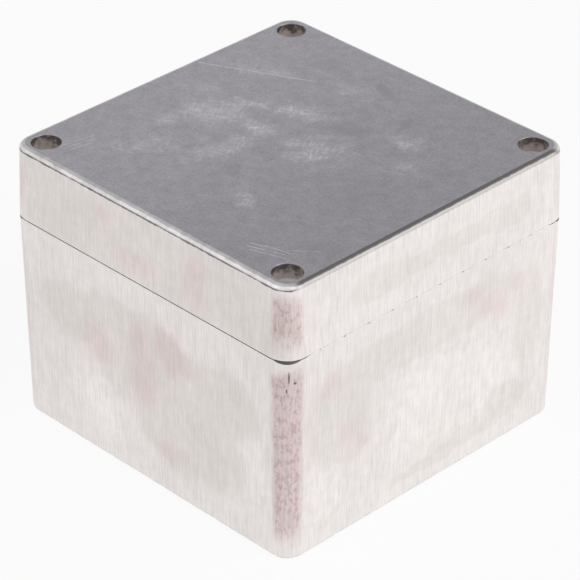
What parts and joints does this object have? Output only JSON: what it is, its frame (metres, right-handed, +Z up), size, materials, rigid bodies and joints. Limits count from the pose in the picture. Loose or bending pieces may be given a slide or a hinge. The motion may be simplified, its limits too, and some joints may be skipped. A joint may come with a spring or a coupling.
{
  "type": "die cast aluminium box",
  "caption": "Deep sealed metal enclosure with a shallow lid, sunk corner screws that stay captive, hidden wall fixings and floor bosses.",
  "frame": {"origin": "middle of the base's underside, on the surface that the box stands on", "axes": "+Z up through the lid; X and Y square to the sides, with the earth terminal on -Y"},
  "size_m": [0.1, 0.1, 0.0792],
  "materials": {
    "base_alloy": "bare casting, sides linished with fine upright lines",
    "lid_alloy": "bare casting, sides linished, top as cast",
    "gasket_rubber": "matt",
    "screw_steel": "satin",
    "ring_nylon": "matt",
    "terminal_brass": "satin, plated"
  },
  "bodies": {
    "base": {"base_casting": "base_alloy"},
    "lid": {"lid_casting": "lid_alloy", "lid_gasket": "gasket_rubber"},
    "ring_1": {"retaining_ring_1": "ring_nylon"},
    "screw_1": {"lid_screw_1": "screw_steel"},
    "ring_2": {"retaining_ring_2": "ring_nylon"},
    "screw_2": {"lid_screw_2": "screw_steel"},
    "ring_3": {"retaining_ring_3": "ring_nylon"},
    "screw_3": {"lid_screw_3": "screw_steel"},
    "ring_4": {"retaining_ring_4": "ring_nylon"},
    "screw_4": {"lid_screw_4": "screw_steel"},
    "earth_clamp": {"earth_clamp": "terminal_brass", "earth_spring_washer": "screw_steel"},
    "earth_screw": {"earth_screw": "terminal_brass"}
  },
  "joints": [
    {"name": "lid_lift", "type": "slide", "parent": "base", "child": "lid", "axis": [0, 0, 1], "range_m": [0, 0.08]},
    {"name": "screw_1_rise", "type": "slide", "parent": "lid", "child": "ring_1", "axis": [0, 0, 1], "range_m": [0, 0.0075]},
    {"name": "screw_1_turn", "type": "hinge", "parent": "ring_1", "child": "screw_1", "pos_m": [0.043, 0.043, 0.0717], "axis": [0, 0, 1], "range_deg": [0, 3857.15]},
    {"name": "screw_2_rise", "type": "slide", "parent": "lid", "child": "ring_2", "axis": [0, 0, 1], "range_m": [0, 0.0075]},
    {"name": "screw_2_turn", "type": "hinge", "parent": "ring_2", "child": "screw_2", "pos_m": [-0.043, 0.043, 0.0717], "axis": [0, 0, 1], "range_deg": [0, 3857.15]},
    {"name": "screw_3_rise", "type": "slide", "parent": "lid", "child": "ring_3", "axis": [0, 0, 1], "range_m": [0, 0.0075]},
    {"name": "screw_3_turn", "type": "hinge", "parent": "ring_3", "child": "screw_3", "pos_m": [-0.043, -0.043, 0.0717], "axis": [0, 0, 1], "range_deg": [0, 3857.15]},
    {"name": "screw_4_rise", "type": "slide", "parent": "lid", "child": "ring_4", "axis": [0, 0, 1], "range_m": [0, 0.0075]},
    {"name": "screw_4_turn", "type": "hinge", "parent": "ring_4", "child": "screw_4", "pos_m": [0.043, -0.043, 0.0717], "axis": [0, 0, 1], "range_deg": [0, 3857.15]},
    {"name": "earth_clamp_rise", "type": "slide", "parent": "base", "child": "earth_clamp", "axis": [0, 0, 1], "range_m": [0, 0.003]},
    {"name": "earth_screw_turn", "type": "hinge", "parent": "earth_clamp", "child": "earth_screw", "pos_m": [0, -0.036, 0.0121], "axis": [0, 0, 1], "range_deg": [0, 1542.87]}
  ],
  "couplings": [
    {"joint": "screw_1_turn", "follows": "screw_1_rise", "rad_per_m": 8976},
    {"joint": "screw_2_turn", "follows": "screw_2_rise", "rad_per_m": 8976},
    {"joint": "screw_3_turn", "follows": "screw_3_rise", "rad_per_m": 8976},
    {"joint": "screw_4_turn", "follows": "screw_4_rise", "rad_per_m": 8976},
    {"joint": "earth_screw_turn", "follows": "earth_clamp_rise", "rad_per_m": 8976}
  ]
}
